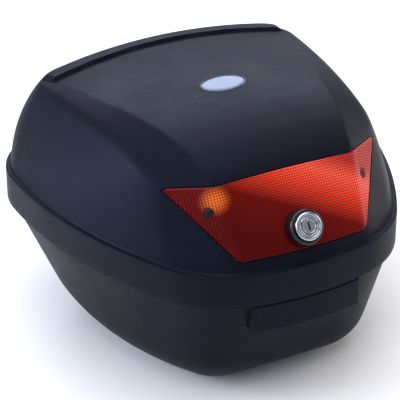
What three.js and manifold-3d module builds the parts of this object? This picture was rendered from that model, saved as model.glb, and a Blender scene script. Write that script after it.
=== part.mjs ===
// Motorcycle top case: a one-helmet plastic case with a hinged lid, a rear reflector,
// a key lock with a turning latch cam and a release slide under the floor.
// Millimetres, +Z up. The lock and the reflector face -Y, the hinges are at +Y.

import * as THREE from 'three';
import { mergeVertices } from 'three/addons/utils/BufferGeometryUtils.js';
import Module from 'manifold-3d';

// ---------- driving dimensions ----------

const SKIRT_Z = 128; // height of the lid skirt's bottom edge above the ground
const CENTRE_Y = 6.07; // middle of the overall length, from the outlines' own origin
const SKIRT_H = 36.3; // height of the skirt band
const WALL = 3; // moulded wall
const GAP = 0.3; // gap between touching pieces

// Plan outlines as tangent arcs [radius, degrees] from the front centre towards +X.
// The last arc closes on the back centre line.
const RIM_ARCS = { y0: -192.3, arcs: [[290, 13.6], [98.5, 44.6], [446, 31.4], [77, 67]] };
const FLOOR_ARCS = { y0: -144.7, arcs: [[700, 5], [44.3, 50], [271.3, 38.3], [50.6, 77]] };
const CROWN_ARCS = { y0: -159.2, arcs: [[200, 13], [103, 65.2], [918, 11.87], [28, 78.4]] };

const TUB_INSET = 5; // tub wall inside the skirt's outer face
const TUB_RIM_Z = 24; // top of the tub rim, from the skirt's bottom edge
const FLOOR_Z = -125.6; // outer face of the floor, from the skirt's bottom edge
const FLOOR_FILLET = 42;
const CROWN_Z = 125; // height at which CROWN_ARCS holds
const BULGE_SIDE = 1; // outward bulge of the lid wall between ledge and crown
const BULGE_BACK = 11;
const HOLLOW = 3; // how far the tub's front is drawn in between its lower corners

// Lock axis, pointing out of the reflector face and up.
const LOCK_TILT = Math.atan2(0.574, 0.819);
const FACE_N = 174.5; // distance of the reflector face along the lock axis
const LENS_T = 3;
const POCKET_T = 5;
const LOCK_S = -45; // lock centre along the face, see faceFrame

const HINGE_Y = 200.5;
const HINGE_Z = -4;
const HINGE_X = 62;
const HINGE_PIN_R = 2.5;

// ---------- materials ----------

const material = (color, roughness, metalness = 0) =>
  new THREE.MeshStandardMaterial({ color, roughness, metalness });

const CASE_PLASTIC = material(0x1c1e26, 0.55);
const RUBBER = material(0x121212, 0.85);
const LENS_RED = material(0xb3140c, 0.18);
const CARRIER_GREY = material(0x8c8f92, 0.45);
const CHROME = material(0xd8dadc, 0.12, 1);
const ZINC = material(0xa9adb0, 0.35, 1);
const BLACK_GLOSS = material(0x0c0c0e, 0.3);
const BADGE_FACE = material(0xb9c3da, 0.3);
const FOAM = material(0x26282b, 0.95);
const STEEL = material(0x8f9296, 0.4, 1);

// ---------- solid helpers ----------

const wasm = await Module();
wasm.setup();

function solid(geometry) {
  const bare = new THREE.BufferGeometry();
  bare.setAttribute('position', geometry.getAttribute('position').clone());
  if (geometry.index) bare.setIndex(geometry.index.clone());
  const welded = mergeVertices(bare, 1e-4);
  return new wasm.Manifold(
    new wasm.Mesh({
      numProp: 3,
      vertProperties: new Float32Array(welded.getAttribute('position').array),
      triVerts: new Uint32Array(welded.index.array),
    }),
  );
}

function geometryOf(body) {
  const mesh = body.getMesh();
  const geometry = new THREE.BufferGeometry();
  geometry.setAttribute('position', new THREE.BufferAttribute(Float32Array.from(mesh.vertProperties), 3));
  geometry.setIndex(new THREE.BufferAttribute(Uint32Array.from(mesh.triVerts), 1));
  return geometry;
}

function part(name, body, mat) {
  const flat = geometryOf(body).toNonIndexed();
  flat.computeVertexNormals();
  const mesh = new THREE.Mesh(flat, mat);
  mesh.name = name;
  return mesh;
}

function block(x0, x1, y0, y1, z0, z1) {
  const geometry = new THREE.BoxGeometry(x1 - x0, y1 - y0, z1 - z0);
  geometry.translate((x0 + x1) / 2, (y0 + y1) / 2, (z0 + z1) / 2);
  return solid(geometry);
}

// Turned body about +Z from [radius, height] pairs that start and end on the axis.
function turned(profile, segments = 32) {
  const points = profile.map(([r, z]) => new THREE.Vector2(r, z));
  const geometry = new THREE.LatheGeometry(points, segments);
  geometry.rotateX(Math.PI / 2);
  return geometry;
}

function rod(radius, z0, z1, segments = 32) {
  return turned([[0, z0], [radius, z0], [radius, z1], [0, z1]], segments);
}

// Sheet between two heights with a plan polygon.
function slab(polygon, z0, z1) {
  const shape = new THREE.Shape(polygon.map(([x, y]) => new THREE.Vector2(x, y)));
  const geometry = new THREE.ExtrudeGeometry(shape, { depth: z1 - z0, bevelEnabled: false });
  geometry.translate(0, 0, z0);
  return geometry;
}

// ---------- plan outlines ----------

const HEADINGS = [
  0, 1.7, 3.4, 5, 9, 13.6, 19, 25, 31, 37, 43, 49, 55, 60, 66, 72, 78, 83, 89, 94, 100, 106, 112, 118,
  124, 130, 136, 142, 148, 154, 160, 165, 170.3, 175, 180,
];
const radians = THREE.MathUtils.degToRad;

// Position on an arc outline where the path runs at the given heading.
function outlineAt({ y0, arcs }, heading) {
  let from = 0;
  let endX = 0;
  for (const [radius, sweep] of arcs) {
    endX += radius * (Math.sin(radians(from + sweep)) - Math.sin(radians(from)));
    from += sweep;
  }
  const closing = [endX / Math.sin(radians(180 - from)), 180 - from];
  let x = 0;
  let y = y0;
  from = 0;
  for (const [radius, sweep] of [...arcs, closing]) {
    const to = Math.min(Math.max(heading, from), from + sweep);
    x += radius * (Math.sin(radians(to)) - Math.sin(radians(from)));
    y += radius * (Math.cos(radians(from)) - Math.cos(radians(to)));
    from += sweep;
  }
  return [x, y];
}

function outward(heading) {
  return [Math.sin(radians(heading)), -Math.cos(radians(heading))];
}

// Closed ring of [x, y, z], right half then mirrored left half.
function ring(pointAt, z) {
  const right = HEADINGS.map((heading) => pointAt(heading));
  const left = right.slice(1, -1).reverse().map(([x, y]) => [-x, y]);
  return [...right, ...left].map(([x, y]) => [x, y, z]);
}

function rimRing(inset, z) {
  return ring((heading) => {
    const [x, y] = outlineAt(RIM_ARCS, heading);
    const [nx, ny] = outward(heading);
    return [x - inset * nx, y - inset * ny];
  }, z);
}

// Solid through rings of equal count, listed upwards.
function loft(rings) {
  const count = rings[0].length;
  const vertices = rings.flat(2);
  const faces = [];
  for (let level = 0; level + 1 < rings.length; level += 1) {
    for (let i = 0; i < count; i += 1) {
      const a = level * count + i;
      const b = level * count + ((i + 1) % count);
      faces.push(a, b, b + count, a, b + count, a + count);
    }
  }
  const bottom = vertices.length / 3;
  const top = bottom + 1;
  vertices.push(0, 0, rings[0][0][2], 0, 0, rings[rings.length - 1][0][2]);
  const last = (rings.length - 1) * count;
  for (let i = 0; i < count; i += 1) {
    const next = (i + 1) % count;
    faces.push(bottom, next, i, top, last + i, last + next);
  }
  const geometry = new THREE.BufferGeometry();
  geometry.setAttribute('position', new THREE.Float32BufferAttribute(vertices, 3));
  geometry.setIndex(faces);
  return solid(geometry);
}

function band(outerInset, innerInset, z0, z1) {
  const outer = loft([rimRing(outerInset, z0), rimRing(outerInset, z1)]);
  return outer.subtract(loft([rimRing(innerInset, z0 - 1), rimRing(innerInset, z1 + 1)]));
}

// ---------- tub shape ----------

// Drafted wall between the rim outline and the floor outline, rounded into the floor.
function tubRing(z, shrink, floorZ, fillet) {
  const depth = Math.max(0, z / FLOOR_Z);
  const over = Math.max(0, floorZ + fillet - z) / fillet;
  const rounded = fillet * (1 - Math.sqrt(Math.max(0, 1 - over * over)));
  return ring((heading) => {
    const [rx, ry] = outlineAt(RIM_ARCS, heading);
    const [fx, fy] = outlineAt(FLOOR_ARCS, heading);
    const [nx, ny] = outward(heading);
    const back = rounded + shrink;
    const x = (rx - TUB_INSET * nx) * (1 - depth) + fx * depth - back * nx;
    const y = (ry - TUB_INSET * ny) * (1 - depth) + fy * depth - back * ny;
    const middle = heading < 75 ? 1 - THREE.MathUtils.smoothstep(x, 20, 60) : 0;
    return [x, y + HOLLOW * middle * depth * depth];
  }, z);
}

function tubBody(shrink, floorZ, fillet, topZ) {
  const levels = [0, 0.17, 0.34, 0.5, 0.66, 0.8, 0.92, 1].map(
    (turn) => floorZ + fillet * (1 - Math.sin((turn * Math.PI) / 2)),
  );
  const low = levels.reverse().map((z) => tubRing(z, shrink, floorZ, fillet));
  return loft([...low, tubRing(-40, shrink, floorZ, fillet), tubRing(0, shrink, floorZ, fillet),
    tubRing(topZ, shrink, floorZ, fillet)]);
}

// ---------- lid shape ----------

// Centre-line height of the top panel and the track of the crease beside it.
const PANEL = [
  [-200, 30, 60], [-150, 98, 71], [-142, 108, 73.5], [-135, 115.5, 75.5], [-128, 121.6, 77],
  [-120, 127, 78.3], [-108, 132.9, 81.6], [-95, 137.3, 85.4], [-75, 141.8, 90], [-55, 144.4, 94.4],
  [-35, 145.4, 99.2], [-14, 145.4, 104], [6, 144.4, 109], [27, 142.5, 113.9], [53, 140.2, 118.7],
  [79, 137.4, 123.2], [100, 134.9, 127.4], [119, 132.4, 131.3], [140, 129.6, 135], [170, 125.4, 140],
];
// Slope of the facet between the panel's crease and the side wall.
const FACET_SLOPE = [
  [-175, 0.85], [-135, 0.75], [-105, 0.69], [-66, 0.54], [-5, 0.48], [67, 0.35], [119, 0.2], [170, 0.2],
];
const PANEL_CROWN = 7.2; // drop of the panel 108 mm from the centre line
const RIDGE_H = 5.5; // lip along the back of the top panel
const RIDGE_TOE = 8;
const RIDGE_TOP = 3;

function between(table, y, column) {
  const last = table.length - 1;
  const at = Math.min(Math.max(y, table[0][0]), table[last][0]);
  const k = Math.max(1, table.findIndex((row) => row[0] >= at));
  const share = (at - table[k - 1][0]) / (table[k][0] - table[k - 1][0]);
  return table[k - 1][column] * (1 - share) + table[k][column] * share;
}

const ridgeY = (x) => 136.5 - 8.3 * (x / 100) ** 2;

function roofZ(x, y, lift) {
  const creaseX = between(PANEL, y, 2);
  const inner = Math.min(Math.abs(x), creaseX);
  const facet = Math.abs(x) - inner;
  const crown = PANEL_CROWN * (inner / 108) ** 2;
  return between(PANEL, y, 1) - crown - between(FACET_SLOPE, y, 1) * facet + lift;
}

// Solid under a sheet of rows of [x, y, height], down to a base height.
function underSheet(rows, base) {
  const across = rows[0].length;
  const top = rows.flat();
  const vertices = [...top, ...top.map(([x, y]) => [x, y, base])].flat();
  const count = top.length;
  const faces = [];
  for (let r = 0; r + 1 < rows.length; r += 1) {
    for (let c = 0; c + 1 < across; c += 1) {
      const a = r * across + c;
      const b = a + across;
      const leftHalf = c < (across - 1) / 2;
      const pairs = leftHalf ? [[a, a + 1, b + 1], [a, b + 1, b]] : [[a, a + 1, b], [a + 1, b + 1, b]];
      for (const [p, q, s] of pairs) faces.push(p, q, s, p + count, s + count, q + count);
    }
  }
  const lastRow = count - across;
  const rim = [];
  for (let c = 0; c < across - 1; c += 1) rim.push(c);
  for (let r = 0; r < rows.length - 1; r += 1) rim.push(r * across + across - 1);
  for (let c = across - 1; c > 0; c -= 1) rim.push(lastRow + c);
  for (let r = rows.length - 1; r > 0; r -= 1) rim.push(r * across);
  rim.forEach((p, k) => {
    const q = rim[(k + 1) % rim.length];
    faces.push(p, p + count, q + count, p, q + count, q);
  });
  const geometry = new THREE.BufferGeometry();
  geometry.setAttribute('position', new THREE.Float32BufferAttribute(vertices, 3));
  geometry.setIndex(faces);
  return solid(geometry);
}

// Columns of the roof sheet: share of the crease's distance from the middle, and what lies past it.
const ROOF_COLUMNS = [
  [-1, -90], [-1, -40], [-1, -7], [-1, 0], [-0.7, 0], [-0.35, 0], [0, 0],
  [0.35, 0], [0.7, 0], [1, 0], [1, 7], [1, 40], [1, 90],
];
const RIDGE_X = 131; // crease's distance from the middle at the ridge

function roofRow(yAt, lift, drop) {
  return ROOF_COLUMNS.map(([share, past]) => {
    const y = yAt(share * RIDGE_X + past);
    const x = share * between(PANEL, y, 2) + past;
    return [x, y, roofZ(x, y, past === 0 ? lift : 0) - drop];
  });
}

function roofBody(drop) {
  const rows = PANEL.filter(([y]) => y <= 100).map(([y]) => roofRow(() => y, 0, drop));
  rows.push(roofRow((x) => ridgeY(x) - RIDGE_TOE, 0, drop));
  rows.push(roofRow((x) => ridgeY(x) - RIDGE_TOP, RIDGE_H, drop));
  rows.push(roofRow((x) => ridgeY(x) + 10, RIDGE_H, drop));
  rows.push(roofRow(() => 200, RIDGE_H, drop));
  return underSheet(rows, 20);
}

// Lid wall between the ledge and the crown, fuller at the back corners.
function lidWallRing(z, shrink) {
  const rise = (z - SKIRT_H) / (CROWN_Z - SKIRT_H);
  return ring((heading) => {
    const [rx, ry] = outlineAt(RIM_ARCS, heading);
    const [cx, cy] = outlineAt(CROWN_ARCS, heading);
    const [nx, ny] = outward(heading);
    const ease = THREE.MathUtils.smoothstep(heading, 55, 150);
    const bulge = (BULGE_SIDE + (BULGE_BACK - BULGE_SIDE) * ease) * 4 * rise * (1 - rise);
    const move = Math.max(bulge, 0) - shrink;
    const x = (rx - TUB_INSET * nx) * (1 - rise) + cx * rise + move * nx;
    const y = (ry - TUB_INSET * ny) * (1 - rise) + cy * rise + move * ny;
    return [x, y];
  }, z);
}

function lidWallBody(shrink) {
  return loft([30, SKIRT_H, 48, 60, 72, 84, 96, 108, 118, 130, 156].map((z) => lidWallRing(z, shrink)));
}

// Frame of the reflector face: X across, s up the face, n outward along the lock axis.
const faceFrame = new THREE.Matrix4().makeBasis(
  new THREE.Vector3(1, 0, 0),
  new THREE.Vector3(0, Math.sin(LOCK_TILT), Math.cos(LOCK_TILT)),
  new THREE.Vector3(0, -Math.cos(LOCK_TILT), Math.sin(LOCK_TILT)),
);

// Bowed centre panel between two flat wings that fall back to the side walls.
const wingN = (x, s, depth) => (185.8 - depth - 0.569 * x + 0.0527 * s) / 0.8208;

function centreN(x, s, depth) {
  const bow = (6 - 4 * Math.min(1, Math.max(0, (s + 62) / 77))) * Math.max(0, 1 - (x / 74) ** 2);
  return FACE_N + bow - depth;
}

function faceBody(depth) {
  const rows = [];
  for (const s of [-110, -62, -30, 0, 15, 70, 300]) {
    const bend = (185.8 - FACE_N * 0.8208 + 0.0527 * s) / 0.569;
    const xs = [-260, -bend, -bend * 0.66, -bend * 0.33, 0, bend * 0.33, bend * 0.66, bend, 260];
    rows.push(xs.map((x) => {
      const out = Math.abs(x);
      return [x, s, Math.min(centreN(out, s, depth), wingN(out, s, depth))];
    }));
  }
  const body = underSheet(rows, -260);
  const geometry = geometryOf(body);
  geometry.applyMatrix4(faceFrame);
  return solid(geometry);
}

// Outline of the reflector on its face, shrunk by a margin.
function lensOutline(margin) {
  const right = [
    [0, -64.5 + margin], [40, -63.6 + margin], [66, -62 + margin], [71.5 - margin, -59],
    [74 - margin, -54 + margin], [116.5 - 1.9 * margin, 24 - margin], [114 - 1.5 * margin, 25 - 1.3 * margin],
    [75, 14.2 - margin], [0, 15.5 - margin],
  ];
  const left = right.slice(1, -1).reverse().map(([x, s]) => [-x, s]);
  return [...right, ...left];
}

function faceSolid(geometry) {
  geometry.applyMatrix4(faceFrame);
  return solid(geometry);
}

function onLock(geometry) {
  geometry.translate(0, LOCK_S, 0);
  return faceSolid(geometry);
}

const reflectorPrism = (margin) => faceSolid(slab(lensOutline(margin), 90, 230));

// ---------- fastener positions ----------

// Axis square to a reflector wing, origin at the screw's seat on the wing surface.
function onWing(geometry, side) {
  const normal = new THREE.Vector3(side * 0.569, -0.7023, 0.4278).normalize();
  const turn = new THREE.Quaternion().setFromUnitVectors(new THREE.Vector3(0, 0, 1), normal);
  geometry.applyQuaternion(turn);
  geometry.translate(side * 85.4, -141.2, 89);
  return solid(geometry);
}

const SIDES = [['left', -1], ['right', 1]];

// ---------- hinges ----------

function alongX(geometry, x0, y, z) {
  geometry.rotateY(Math.PI / 2);
  geometry.translate(x0, y, z);
  return solid(geometry);
}

// Rounded lug about the hinge axis joined to a patch of wall, across x0 to x1.
function hingeLug(x0, x1, wallY, wallZ0, wallZ1) {
  const outline = [];
  const [start, end] = wallZ1 > 0 ? [-150, 60] : [-90, 110];
  for (let k = 0; k <= 8; k += 1) {
    const turn = radians(start + ((end - start) * k) / 8);
    outline.push([HINGE_Y + 6 * Math.cos(turn), HINGE_Z + 6 * Math.sin(turn)]);
  }
  outline.push([wallY, wallZ1], [wallY, wallZ0]);
  const geometry = slab(outline, x0, x1);
  geometry.applyMatrix4(new THREE.Matrix4().makeBasis(
    new THREE.Vector3(0, 1, 0),
    new THREE.Vector3(0, 0, 1),
    new THREE.Vector3(1, 0, 0),
  ));
  return solid(geometry);
}

const hingeBore = (x0, x1) => alongX(rod(HINGE_PIN_R + 0.4, x0, x1, 24), 0, HINGE_Y, HINGE_Z);

// ---------- tub ----------

const RELEASE = { x: 50, y0: -70, y1: 6, z: -113 }; // recess under the floor

function tub() {
  const outer = tubBody(0, FLOOR_Z, FLOOR_FILLET, TUB_RIM_Z);
  const plate = loft([rimRing(-2, -30.3), rimRing(-2, -0.6)]);
  const frontBlock = plate.intersect(block(-59, 59, -210, -150, -40, 5));
  let body = outer.add(frontBlock);
  for (const [, side] of SIDES) {
    for (const x of [side * HINGE_X - 18, side * HINGE_X + 18]) {
      body = body.add(hingeLug(x - 4.6, x + 4.6, 166, -36, -12));
    }
  }
  const rimBead = loft([rimRing(4, 12), rimRing(4, 40)]).subtract(
    loft([rimRing(7.9, 11.9), rimRing(11, 15.5), rimRing(11, 41)]),
  );
  const strikerPad = block(-24, 24, -195, -180, -14, 12);
  const { x: half, y0, y1, z: ceiling } = RELEASE;
  const hump = block(-half - 4, half + 4, y0 - 4, y1 + 4, FLOOR_Z - 1, ceiling + WALL);
  const cavity = tubBody(WALL, FLOOR_Z + WALL, FLOOR_FILLET - WALL, TUB_RIM_Z + 1);
  body = body.subtract(cavity.subtract(rimBead).subtract(strikerPad).subtract(hump));
  body = body.subtract(band(6.4, 9.4, TUB_RIM_Z - 3, TUB_RIM_Z + 4));
  body = body.subtract(block(-half, half, y0, y1, FLOOR_Z - 2, ceiling));
  for (const [, side] of SIDES) {
    body = body.subtract(hingeBore(side * HINGE_X - 26, side * HINGE_X + 26));
    body = body.subtract(strikerBore(side, 2.3, -186.2, -179));
  }
  return body;
}

function strikerBore(side, radius, y0, y1) {
  const geometry = rod(radius, y0, y1, 16);
  geometry.rotateX(-Math.PI / 2);
  geometry.translate(side * 11, 0, 0);
  return solid(geometry);
}

// ---------- lid ----------

function lid() {
  const skirt = loft([rimRing(0.8, 0), rimRing(0, 0.8), rimRing(0, SKIRT_H - 1), rimRing(1, SKIRT_H)]);
  const dome = lidWallBody(0).intersect(roofBody(0)).intersect(faceBody(0));
  const pocket = reflectorPrism(-0.4).subtract(faceBody(POCKET_T));
  let body = skirt.add(dome).subtract(pocket);
  for (const [, side] of SIDES) {
    body = body.add(hingeLug(side * HINGE_X - 13, side * HINGE_X + 13, 180, 3, 20));
  }
  const skirtCavity = loft([rimRing(WALL, -8), rimRing(WALL, SKIRT_H - WALL)]);
  const domeCavity = lidWallBody(WALL).intersect(roofBody(WALL)).intersect(faceBody(POCKET_T + 3.5));
  let cavity = skirtCavity.add(domeCavity).subtract(band(6.6, 8.6, 26.3, SKIRT_H));
  cavity = cavity.subtract(onLock(rod(23, 168, 178)));
  for (const [, side] of SIDES) cavity = cavity.subtract(onWing(rod(6, -19, 0, 24), side));
  body = body.subtract(cavity).subtract(onLock(rod(10.4, 150, 190)));
  for (const [, side] of SIDES) {
    body = body.subtract(onWing(rod(2.3, -17, 0, 16), side));
    body = body.subtract(hingeBore(side * HINGE_X - 26, side * HINGE_X + 26));
  }
  const badgeSeat = badgeEllipse(25.7, 16.7, -1.6, 6);
  return body.subtract(badgeSeat);
}

// ---------- badge ----------

const BADGE = { y: -5.6, z: 144.8 };

function badgeEllipse(a, b, z0, z1) {
  const outline = [];
  for (let k = 0; k < 40; k += 1) {
    const turn = (k * Math.PI) / 20;
    outline.push([a * Math.cos(turn), b * Math.sin(turn)]);
  }
  const geometry = slab(outline, z0, z1);
  geometry.translate(0, BADGE.y, BADGE.z);
  return solid(geometry);
}

// ---------- reflector ----------

function lensBody() {
  let body = reflectorPrism(0).intersect(faceBody(0)).subtract(faceBody(LENS_T));
  body = body.subtract(onLock(rod(18.4, 150, 200, 40)));
  for (const [, side] of SIDES) {
    body = body.subtract(onWing(rod(5.3, -2, 8, 28), side)).subtract(onWing(rod(2.4, -9, 0, 16), side));
  }
  return body;
}

function carrierBody() {
  let body = reflectorPrism(0.8).intersect(faceBody(LENS_T + GAP)).subtract(faceBody(POCKET_T - GAP));
  body = body.subtract(onLock(rod(18.4, 150, 200, 40)));
  for (const [, side] of SIDES) body = body.subtract(onWing(rod(2.4, -9, 0, 16), side));
  return body;
}

function wingScrew(side) {
  const profile = [[0, -16], [2, -16], [2, -1.7], [4.7, -1.7], [4.7, -0.9], [3.6, -0.3], [0, -0.3]];
  const slot = new THREE.BoxGeometry(6, 1, 1.2).translate(0, 0, -0.3);
  return onWing(turned(profile, 24), side).subtract(onWing(slot, side));
}

// ---------- lock ----------

function collarBody() {
  const profile = [[10.6, 175.9], [18, 175.9], [18, 188.5], [16.8, 191.9], [10.6, 191.9], [10.6, 175.9]];
  return onLock(turned(profile, 40));
}

function barrelBody() {
  return onLock(turned([
    [6.5, 151], [10, 151], [10, 192.2], [14, 192.2], [14, 194.6], [13, 195.7], [9.2, 195.7], [8.5, 194.9],
    [8.5, 192.6], [6.5, 192.6], [6.5, 151],
  ], 40));
}

function plugBody() {
  const body = onLock(turned([
    [0, 141], [4, 141], [4, 148.4], [6.1, 148.4], [6.1, 192.9], [8.1, 192.9], [8.1, 194.9], [7.6, 195.4],
    [0, 195.4],
  ], 32));
  const slot = onLock(new THREE.BoxGeometry(1.6, 8.4, 20).translate(0, 0, 190));
  const drive = onLock(new THREE.BoxGeometry(9, 9, 6).translate(0, 4.5 + 2.9, 144.5));
  return body.subtract(slot).subtract(drive);
}

const nutBody = () => onLock(rod(15.6, 162.6, 167.7, 6)).subtract(onLock(rod(10.4, 160, 170, 40)));

// Cam in its locked position: hub, arm down the face and a foot that turns under the striker.
function camLocked() {
  const hub = onLock(rod(11, 144.4, 147.4, 28));
  const arm = onLock(new THREE.BoxGeometry(12, 46, 3).translate(0, -23, 145.9));
  const foot = block(-6, 6, -176.6, -167.5, 8.4, 11);
  const joined = hub.add(arm).add(foot.subtract(block(-20, 20, -168.4, -100, -50, 9)));
  const flat = onLock(new THREE.BoxGeometry(9, 9, 8).translate(4.5 + 3.15, 0, 146));
  return joined.subtract(onLock(rod(4.35, 140, 150, 28)).subtract(flat));
}

// Turn about the lock axis by an angle.
function turnedOnLock(body, angle) {
  const axis = new THREE.Vector3(0, -Math.cos(LOCK_TILT), Math.sin(LOCK_TILT));
  const centre = new THREE.Vector3(0, LOCK_S, 0).applyMatrix4(faceFrame);
  const geometry = geometryOf(body);
  geometry.translate(-centre.x, -centre.y, -centre.z);
  geometry.applyQuaternion(new THREE.Quaternion().setFromAxisAngle(axis, angle));
  geometry.translate(centre.x, centre.y, centre.z);
  return solid(geometry);
}

function camScrewBody() {
  return onLock(turned([[0, 136.4], [3.4, 136.4], [4.2, 137.4], [7, 140.7], [0, 140.7]], 24));
}

// ---------- striker ----------

function strikerBody() {
  const plate = block(-18, 18, -179.7, -177.7, -9, 15.6);
  const lip = block(-11, 11, -178, -173.8, 13.6, 15.6);
  let body = plate.add(lip);
  for (const [, side] of SIDES) body = body.subtract(strikerBore(side, 2.3, -181, -176));
  return body;
}

function strikerScrew(side) {
  const profile = [[0, -185.8], [2, -185.8], [2, -177.4], [4, -177.4], [4, -176], [3, -175.2], [0, -175.2]];
  const geometry = turned(profile, 24);
  geometry.rotateX(-Math.PI / 2);
  geometry.translate(side * 11, 0, 0);
  return solid(geometry);
}

// ---------- release latch under the floor ----------

function releaseHousing() {
  const frame = block(-44, 44, -64, -8, -120.6, RELEASE.z - GAP);
  let body = frame.subtract(block(-13, 13, -70, 0, -130, -116));
  for (const [x, y] of coverScrews()) body = body.subtract(upright(1.9, x, y, -125, -114.6));
  return body;
}

const coverScrews = () => [[-36, -56], [36, -56], [-36, -16], [36, -16]];

function upright(radius, x, y, z0, z1, segments = 16) {
  const geometry = rod(radius, z0, z1, segments);
  geometry.translate(x, y, 0);
  return solid(geometry);
}

function releaseCover() {
  let body = block(-44, 44, -64, -8, -122.9, -120.9).subtract(block(-9.5, 9.5, -60, -24, -130, -110));
  for (const [x, y] of coverScrews()) body = body.subtract(upright(1.9, x, y, -125, -118));
  return body;
}

function releaseSlide() {
  const bar = block(-12.6, 12.6, -54, -4, -120.5, -116.4);
  const nose = block(-12.6, 12.6, -5, 0, -120.5, -118);
  const frontTab = block(-9, 9, -50, -46.5, -124.2, -120);
  const backTab = block(-9, 9, -40, -36.5, -124.2, -120);
  return bar.add(nose).add(frontTab).add(backTab);
}

function coverScrew([x, y]) {
  const head = [[0, -124.6], [2.6, -124.6], [3.4, -124.1], [3.4, -123.2]];
  const profile = [...head, [1.5, -123.2], [1.5, -115.4], [0, -115.4]];
  const geometry = turned(profile, 20);
  geometry.translate(x, y, 0);
  return solid(geometry);
}

// ---------- floor mat and feet ----------

function matBody() {
  const outline = tubRing(FLOOR_Z, 1.6, FLOOR_Z, FLOOR_FILLET);
  const sheet = loft([-122.3, -119.9].map((z) => outline.map(([x, y]) => [x, y, z])));
  const { x: half, y0, y1 } = RELEASE;
  return sheet.subtract(block(-half - 5.5, half + 5.5, y0 - 5.5, y1 + 5.5, -130, -100));
}

// ---------- assembly ----------

const group = new THREE.Group();
group.name = 'top_case';
const add = (name, body, mat) => group.add(part(name, body, mat));

add('base_tub', tub(), CASE_PLASTIC);
add('rim_seal', band(6.7, 9.1, TUB_RIM_Z - 3 + GAP, TUB_RIM_Z + 2), RUBBER);
add('lid_shell', lid(), CASE_PLASTIC);
add('reflector_lens', lensBody(), LENS_RED);
add('reflector_carrier', carrierBody(), CARRIER_GREY);
const pinProfile = [[0, 37.4], [3.8, 37.4], [3.8, 39], [HINGE_PIN_R, 39], [HINGE_PIN_R, 86.4], [0, 86.4]];
for (const [side, sign] of SIDES) {
  add(`reflector_screw_${side}`, wingScrew(sign), BLACK_GLOSS);
  add(`hinge_pin_${side}`, alongX(turned(pinProfile, 24), sign > 0 ? 0 : -125, HINGE_Y, HINGE_Z), STEEL);
  add(`striker_screw_${side}`, strikerScrew(sign), ZINC);
}
const badgeDish = badgeEllipse(23.6, 14.6, -0.3, 3);
add('badge_bezel', badgeEllipse(25.4, 16.4, -1.3, 0.9).subtract(badgeDish), BLACK_GLOSS);
add('badge_plate', badgeEllipse(23.3, 14.3, 0, 1.4), BADGE_FACE);
add('lock_collar', collarBody(), BLACK_GLOSS);
add('lock_barrel', barrelBody(), CHROME);
add('key_plug', plugBody(), CHROME);
add('lock_nut', nutBody(), ZINC);
add('latch_cam', turnedOnLock(camLocked(), Math.PI / 2), ZINC);
add('cam_screw', camScrewBody(), STEEL);
add('striker', strikerBody(), ZINC);
add('floor_mat', matBody(), FOAM);
add('release_housing', releaseHousing(), BLACK_GLOSS);
add('release_cover', releaseCover(), BLACK_GLOSS);
add('release_slide', releaseSlide(), CARRIER_GREY);
coverScrews().forEach((spot, k) => add(`cover_screw_${k + 1}`, coverScrew(spot), ZINC));
[[-62, -72], [62, -72], [-62, 28], [62, 28]].forEach(([x, y], k) => {
  add(`foot_pad_${k + 1}`, upright(11, x, y, -SKIRT_Z, FLOOR_Z - GAP, 32), RUBBER);
});

for (const mesh of group.children) mesh.position.set(0, -CENTRE_Y, SKIRT_Z);

export default group;
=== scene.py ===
import math

import bmesh
import bpy
import numpy as np
from mathutils import Matrix, Vector


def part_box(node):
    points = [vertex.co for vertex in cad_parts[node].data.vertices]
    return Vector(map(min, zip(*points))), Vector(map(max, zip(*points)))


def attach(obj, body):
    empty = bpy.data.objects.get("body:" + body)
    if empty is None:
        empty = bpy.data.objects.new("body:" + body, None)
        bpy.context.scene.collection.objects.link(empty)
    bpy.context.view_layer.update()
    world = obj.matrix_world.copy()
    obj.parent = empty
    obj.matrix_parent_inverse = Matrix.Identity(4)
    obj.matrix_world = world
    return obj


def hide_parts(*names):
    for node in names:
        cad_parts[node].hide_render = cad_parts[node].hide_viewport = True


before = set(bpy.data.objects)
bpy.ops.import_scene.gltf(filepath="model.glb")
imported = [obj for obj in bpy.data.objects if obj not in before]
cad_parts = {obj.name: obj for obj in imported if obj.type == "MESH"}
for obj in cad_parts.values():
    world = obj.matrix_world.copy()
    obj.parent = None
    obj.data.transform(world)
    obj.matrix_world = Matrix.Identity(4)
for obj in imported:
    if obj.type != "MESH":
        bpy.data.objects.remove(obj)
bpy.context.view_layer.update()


# ---- Camera, floor and light ----
# A long lens a little to the left of the lock and well above it, as in a catalogue view.
# The floor and the air round the case are a plain pale sweep with large soft lights.
scene = bpy.context.scene
scene.view_settings.view_transform = "Standard"

AIM = Vector((-0.0231, -0.00607, 0.13965))
AZIMUTH, ELEVATION, DISTANCE = math.radians(-26.75), math.radians(30.8), 2.014
TOWARDS_CAMERA = Vector((
    math.sin(AZIMUTH) * math.cos(ELEVATION),
    -math.cos(AZIMUTH) * math.cos(ELEVATION),
    math.sin(ELEVATION),
))

lens = bpy.data.cameras.new("camera")
lens.sensor_width = 36
lens.lens = 174.46
camera = bpy.data.objects.new("camera", lens)
camera.location = AIM + TOWARDS_CAMERA * DISTANCE
camera.rotation_mode = "QUATERNION"
camera.rotation_quaternion = (-TOWARDS_CAMERA).to_track_quat("-Z", "Y")
scene.collection.objects.link(camera)
scene.camera = camera


def linear(hex_colour):
    """Linear RGBA of an sRGB hex colour."""
    channels = [int(hex_colour[i:i + 2], 16) / 255 for i in (1, 3, 5)]
    return tuple(c / 12.92 if c <= 0.04045 else ((c + 0.055) / 1.055) ** 2.4 for c in channels) + (1.0,)


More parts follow.
